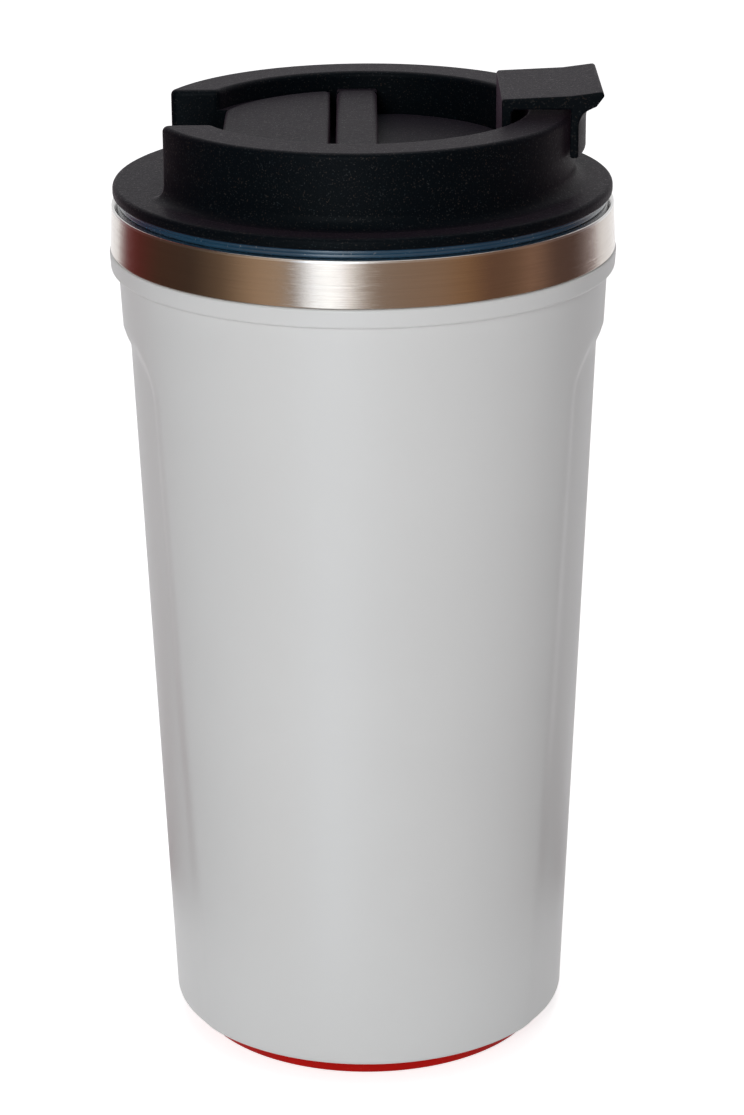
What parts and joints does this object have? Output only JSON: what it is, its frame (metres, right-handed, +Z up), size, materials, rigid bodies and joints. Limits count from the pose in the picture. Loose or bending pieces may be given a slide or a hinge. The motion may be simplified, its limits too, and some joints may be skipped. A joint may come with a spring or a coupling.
{
  "type": "insulated travel mug",
  "caption": "Tapered vacuum-insulated travel mug with side grips, a steel rim band, a screw lid with a flip-over sealing lever and a suction base.",
  "frame": {"origin": "on the table under the mug's axis, at the suction pad's underside", "axes": "+Z up along the mug's axis, +X towards the lever's thumb lip, +Y along the lever's hinge pin"},
  "size_m": [0.09, 0.09, 0.1777],
  "materials": {
    "white_shell": "satin",
    "brushed_steel": "brushed around the axis",
    "inner_steel": "electropolished",
    "black_plastic": "fine spark-eroded grain",
    "blue_silicone": "glossy",
    "red_silicone": "satin",
    "grey_silicone": "satin",
    "clear_white_silicone": "matte",
    "inner_plastic": "plain moulded",
    "screw_steel": "bright",
    "getter_metal": "sintered"
  },
  "bodies": {
    "mug": {"outer_shell": "white_shell", "neck_seal": "clear_white_silicone", "inner_cup": "inner_steel", "outer_cup_wall": "brushed_steel", "outer_cup_base": "inner_steel", "vacuum_getter": "getter_metal", "vessel_cushion": "grey_silicone", "base_cap": "white_shell", "base_screws": "screw_steel", "valve_bridge": "inner_plastic", "vent_valve": "red_silicone"},
    "pad": {"suction_pad": "red_silicone", "pad_carrier": "inner_plastic", "retaining_clip": "screw_steel"},
    "lid_seal": {"lid_gasket": "blue_silicone"},
    "lid": {"lid_top": "black_plastic", "lid_plug": "inner_plastic", "deck_cover": "black_plastic", "hinge_pin": "screw_steel"},
    "lever": {"flip_lever": "black_plastic", "drink_stopper": "grey_silicone", "vent_stopper": "grey_silicone"}
  },
  "joints": [
    {"name": "pad_drop", "type": "slide", "parent": "mug", "child": "pad", "axis": [0, 0, -1], "range_m": [0, 0.0015]},
    {"name": "lid_lift", "type": "slide", "parent": "mug", "child": "lid_seal", "axis": [0, 0, 1], "range_m": [0, 0.01605]},
    {"name": "lid_turn", "type": "hinge", "parent": "lid_seal", "child": "lid", "pos_m": [0, 0, 0.1566], "axis": [0, 0, 1], "range_deg": [0, 480]},
    {"name": "lever_flip", "type": "hinge", "parent": "lid", "child": "lever", "pos_m": [-0.0009, 0, 0.1683], "axis": [0, -1, 0], "range_deg": [0, 176]}
  ],
  "couplings": [
    {"joint": "lid_lift", "follows": "lid_turn", "m_per_rad": 0.0019099}
  ]
}
